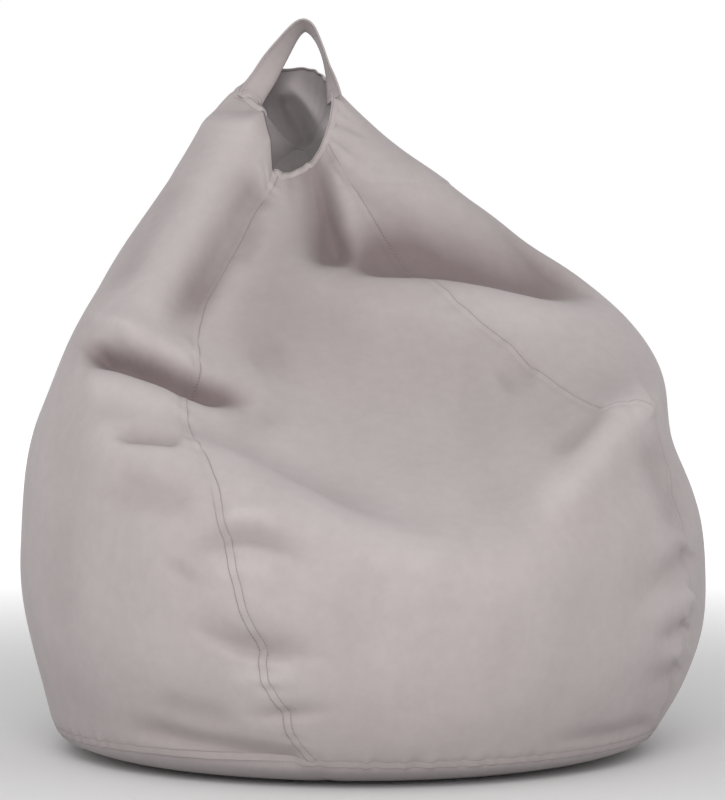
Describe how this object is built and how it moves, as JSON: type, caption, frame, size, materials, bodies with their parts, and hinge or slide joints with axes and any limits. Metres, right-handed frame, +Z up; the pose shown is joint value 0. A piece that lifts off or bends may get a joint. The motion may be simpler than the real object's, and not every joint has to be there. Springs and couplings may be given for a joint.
{
  "type": "bean bag chair",
  "caption": "Teardrop bean bag chair with a hollowed seat, gored cloth cover, top cap with a strap handle, hidden filling zip, inner liner and bead fill.",
  "frame": {"origin": "centre of the base on the floor", "axes": "+Z up, -Y to the front, where the seat hollow and its lip are, +X to the sitter's left as they face forward"},
  "size_m": [0.8474, 0.8625, 0.9375],
  "materials": {
    "cover": "matte coated polyester cloth",
    "base": "matte, heavier cloth",
    "cap": "matte coated polyester cloth",
    "seam": "felled and double stitched",
    "strap": "matte webbing",
    "liner": "smooth woven lining",
    "zip_tape": "woven tape",
    "zip_coil": "satin",
    "slider": "satin",
    "stop": "satin",
    "beads": "expanded polystyrene beads, one solid"
  },
  "bodies": {
    "bag": {"back_panel": "cover", "base_panel": "base", "base_seam": "seam", "bead_fill": "beads", "cap_seam": "seam", "front_panel": "cover", "handle_end_left": "strap", "handle_end_right": "strap", "left_panel": "cover", "liner_bag": "liner", "liner_neck": "liner", "liner_zip_coil": "zip_coil", "liner_zip_tape_lower": "zip_tape", "liner_zip_tape_upper": "zip_tape", "right_panel": "cover", "seam_back_left": "seam", "seam_back_right": "seam", "seam_back_right_foot": "seam", "seam_front_left": "seam", "seam_front_right": "seam", "top_cap": "cap", "zip_bottom_stop": "stop", "zip_coil_left": "zip_coil", "zip_coil_right": "zip_coil", "zip_tape_left": "zip_tape", "zip_tape_right": "zip_tape", "zip_top_stop": "stop"},
    "handle": {"handle_loop": "strap"},
    "zip_slider": {"zip_slider": "slider"},
    "liner_zip_slider": {"liner_zip_slider": "slider"}
  },
  "joints": [
    {"name": "handle_swing", "type": "hinge", "parent": "bag", "child": "handle", "pos_m": [-0.088, 0.162, 0.842], "axis": [1, 0, 0], "range_deg": [-30, 85], "stiffness_Nm_per_rad": 0.05},
    {"name": "zip_run", "type": "hinge", "parent": "bag", "child": "zip_slider", "pos_m": [-0.0191, -0.04729, 0.24], "axis": [0.9272, -0.3746, 0], "range_deg": [0, 31]},
    {"name": "liner_zip_run", "type": "slide", "parent": "bag", "child": "liner_zip_slider", "axis": [1, 0, 0], "range_m": [0, 0.097]}
  ]
}
